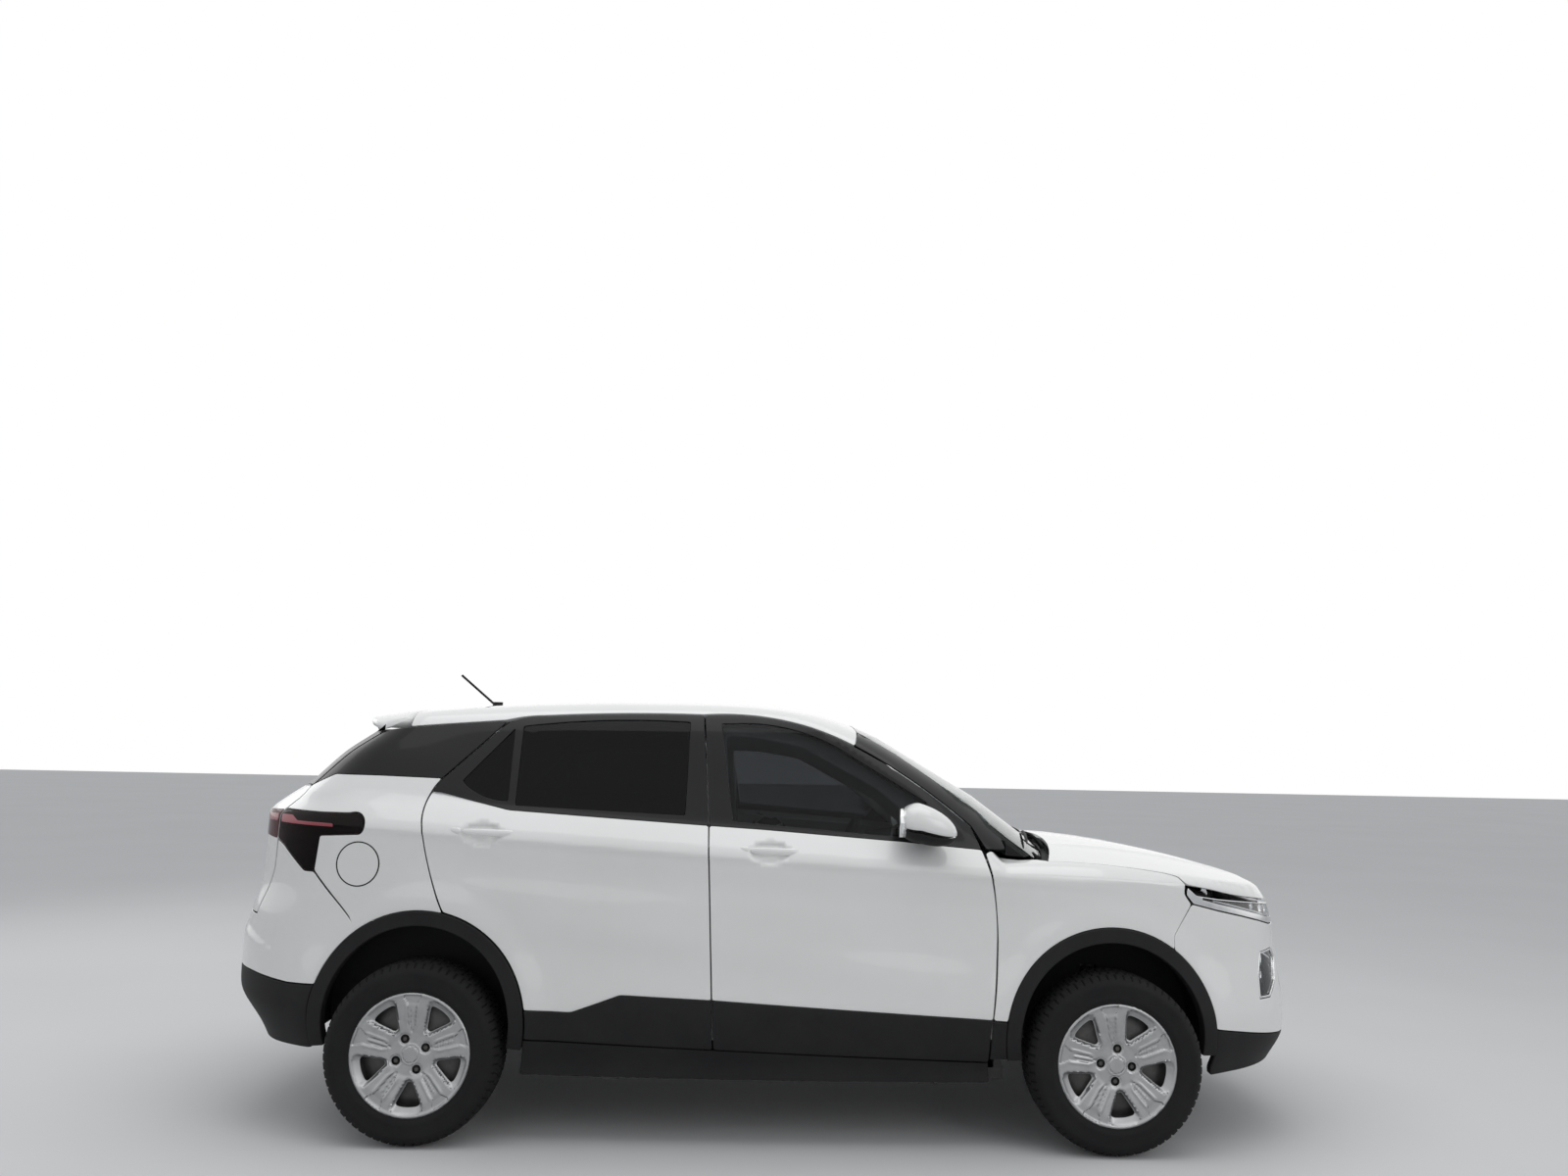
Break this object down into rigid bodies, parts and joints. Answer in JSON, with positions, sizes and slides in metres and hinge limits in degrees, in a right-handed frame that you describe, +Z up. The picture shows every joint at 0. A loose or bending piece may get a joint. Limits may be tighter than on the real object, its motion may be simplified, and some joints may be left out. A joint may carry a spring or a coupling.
{
  "type": "compact crossover car",
  "caption": "Five-door compact crossover car body with wheels, hinged doors, hood and tailgate, and steered front wheels; made as named pieces.",
  "frame": {"origin": "centre of the bounding box on the ground", "axes": "+X forward, +Y to the car's left, +Z up"},
  "size_m": [4.218, 1.93, 1.7312],
  "materials": {
    "white_paint": "gloss",
    "dark_glass": "gloss",
    "clear_glass": "gloss",
    "black_plastic": "matte",
    "lamp_glass": "gloss",
    "red_lamp": "gloss",
    "steel": "satin",
    "cast_metal": "matte",
    "interior_plastic": "matte",
    "seat_fabric": "matte",
    "tyre": "matte",
    "silver_wheel": "satin"
  },
  "bodies": {
    "body": {"antenna": "black_plastic", "arch_cladding": "black_plastic", "body_side_left": "white_paint", "body_side_right": "white_paint", "cowl": "black_plastic", "dashboard": "interior_plastic", "door_hinges": "steel", "engine_block": "cast_metal", "exhaust": "steel", "floor_pan": "steel", "front_bumper": "white_paint", "front_seats": "seat_fabric", "front_struts": "steel", "front_suspension": "steel", "front_valance": "black_plastic", "front_wings": "white_paint", "fuel_tank": "steel", "grille": "black_plastic", "headlamps": "lamp_glass", "lower_lamps": "lamp_glass", "rear_bumper": "white_paint", "rear_seat": "seat_fabric", "rear_suspension": "steel", "rear_valance": "black_plastic", "roof_panel": "white_paint", "sill_cladding": "black_plastic", "tail_lamps": "red_lamp", "tailgate_hinges": "steel", "wheel_liners": "black_plastic", "windscreen": "clear_glass"},
    "door_front_right": {"door_front_right": "white_paint", "glass_front_right": "clear_glass", "mirror_right": "white_paint"},
    "wheel_front_right": {"tyre_front_right": "tyre", "rim_front_right": "silver_wheel"},
    "door_front_left": {"door_front_left": "white_paint", "glass_front_left": "clear_glass", "mirror_left": "white_paint"},
    "wheel_front_left": {"tyre_front_left": "tyre", "rim_front_left": "silver_wheel"},
    "door_rear_right": {"door_rear_right": "white_paint", "glass_rear_right": "dark_glass"},
    "wheel_rear_right": {"tyre_rear_right": "tyre", "rim_rear_right": "silver_wheel"},
    "door_rear_left": {"door_rear_left": "white_paint", "glass_rear_left": "dark_glass"},
    "wheel_rear_left": {"tyre_rear_left": "tyre", "rim_rear_left": "silver_wheel"},
    "knuckle_right": {"knuckle_right": "steel"},
    "knuckle_left": {"knuckle_left": "steel"},
    "hood": {"hood": "white_paint"},
    "tailgate": {"tailgate": "white_paint", "tailgate_glass": "dark_glass", "tailgate_lamps": "red_lamp"},
    "steering_wheel": {"steering_wheel": "interior_plastic"}
  },
  "joints": [
    {"name": "front_door_right_hinge", "type": "hinge", "parent": "body", "child": "door_front_right", "pos_m": [0.74, -0.82, 0.73], "axis": [0, 0, 1], "range_deg": [0, 65]},
    {"name": "rear_door_right_hinge", "type": "hinge", "parent": "body", "child": "door_rear_right", "pos_m": [-0.3, -0.838, 0.73], "axis": [0, 0, 1], "range_deg": [0, 65]},
    {"name": "front_door_left_hinge", "type": "hinge", "parent": "body", "child": "door_front_left", "pos_m": [0.74, 0.82, 0.73], "axis": [0, 0, -1], "range_deg": [0, 65]},
    {"name": "rear_door_left_hinge", "type": "hinge", "parent": "body", "child": "door_rear_left", "pos_m": [-0.3, 0.838, 0.73], "axis": [0, 0, -1], "range_deg": [0, 65]},
    {"name": "hood_hinge", "type": "hinge", "parent": "body", "child": "hood", "pos_m": [1.022, 0, 1.036], "axis": [0, -1, 0], "range_deg": [0, 60]},
    {"name": "tailgate_hinge", "type": "hinge", "parent": "body", "child": "tailgate", "pos_m": [-1.498, 0, 1.548], "axis": [0, 1, 0], "range_deg": [0, 75]},
    {"name": "steering_wheel_turn", "type": "hinge", "parent": "body", "child": "steering_wheel", "pos_m": [0.33, 0.37, 0.945], "axis": [-0.9135, 0, 0.4067], "range_deg": [-525, 525]},
    {"name": "steer_right", "type": "hinge", "parent": "body", "child": "knuckle_right", "pos_m": [1.26, -0.69, 0.32], "axis": [0, 0, 1], "range_deg": [-35, 35]},
    {"name": "steer_left", "type": "hinge", "parent": "body", "child": "knuckle_left", "pos_m": [1.26, 0.69, 0.32], "axis": [0, 0, 1], "range_deg": [-35, 35]},
    {"name": "wheel_front_right_spin", "type": "hinge", "parent": "knuckle_right", "child": "wheel_front_right", "pos_m": [1.26, -0.75, 0.32], "axis": [0, 1, 0], "continuous": true},
    {"name": "wheel_front_left_spin", "type": "hinge", "parent": "knuckle_left", "child": "wheel_front_left", "pos_m": [1.26, 0.75, 0.32], "axis": [0, 1, 0], "continuous": true},
    {"name": "wheel_rear_right_spin", "type": "hinge", "parent": "body", "child": "wheel_rear_right", "pos_m": [-1.29, -0.75, 0.32], "axis": [0, 1, 0], "continuous": true},
    {"name": "wheel_rear_left_spin", "type": "hinge", "parent": "body", "child": "wheel_rear_left", "pos_m": [-1.29, 0.75, 0.32], "axis": [0, 1, 0], "continuous": true}
  ],
  "couplings": [
    {"joint": "steer_right", "follows": "steering_wheel_turn", "ratio": 0.066667},
    {"joint": "steer_left", "follows": "steering_wheel_turn", "ratio": 0.066667}
  ]
}
